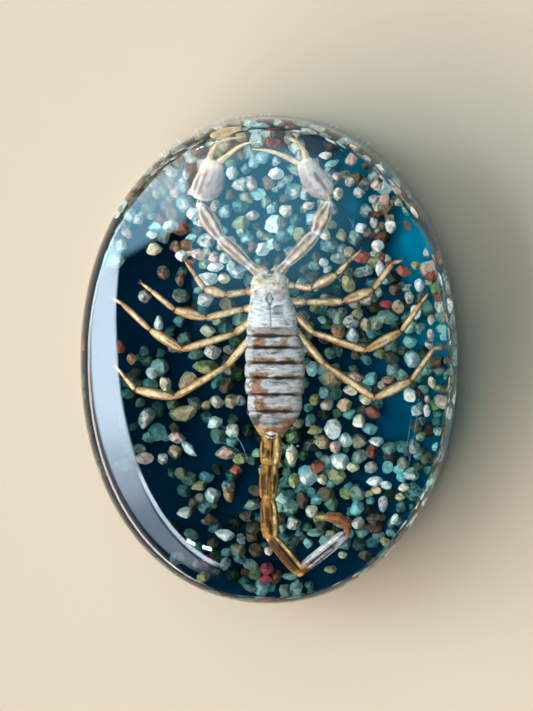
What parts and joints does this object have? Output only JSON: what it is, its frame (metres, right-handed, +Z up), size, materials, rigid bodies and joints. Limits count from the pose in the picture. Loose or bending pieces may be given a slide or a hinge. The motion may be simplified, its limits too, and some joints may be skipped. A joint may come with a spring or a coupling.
{
  "type": "scorpion in resin block",
  "caption": "Oval domed resin paperweight holding a dried golden scorpion above a bed of small coloured stones in dark blue resin.",
  "frame": {"origin": "middle of the felt's underside, on the surface the block rests on", "axes": "+Z up through the dome, Y along the oval's long axis with +Y the way the scorpion's head points, X across"},
  "size_m": [0.0584, 0.0746, 0.0247],
  "materials": {
    "clear_resin": "polished clear cast resin",
    "blue_resin": "deep blue-teal tinted clear resin, polished",
    "scorpion_shell": "dried translucent golden shell with silvery plates",
    "gravel": "mixed small natural stones",
    "white_felt": "thin white felt"
  },
  "bodies": {
    "root": {"resin_upper": "clear_resin", "resin_lower": "clear_resin", "tinted_base": "blue_resin", "scorpion": "scorpion_shell", "gravel": "gravel", "felt_pad": "white_felt"}
  },
  "joints": []
}
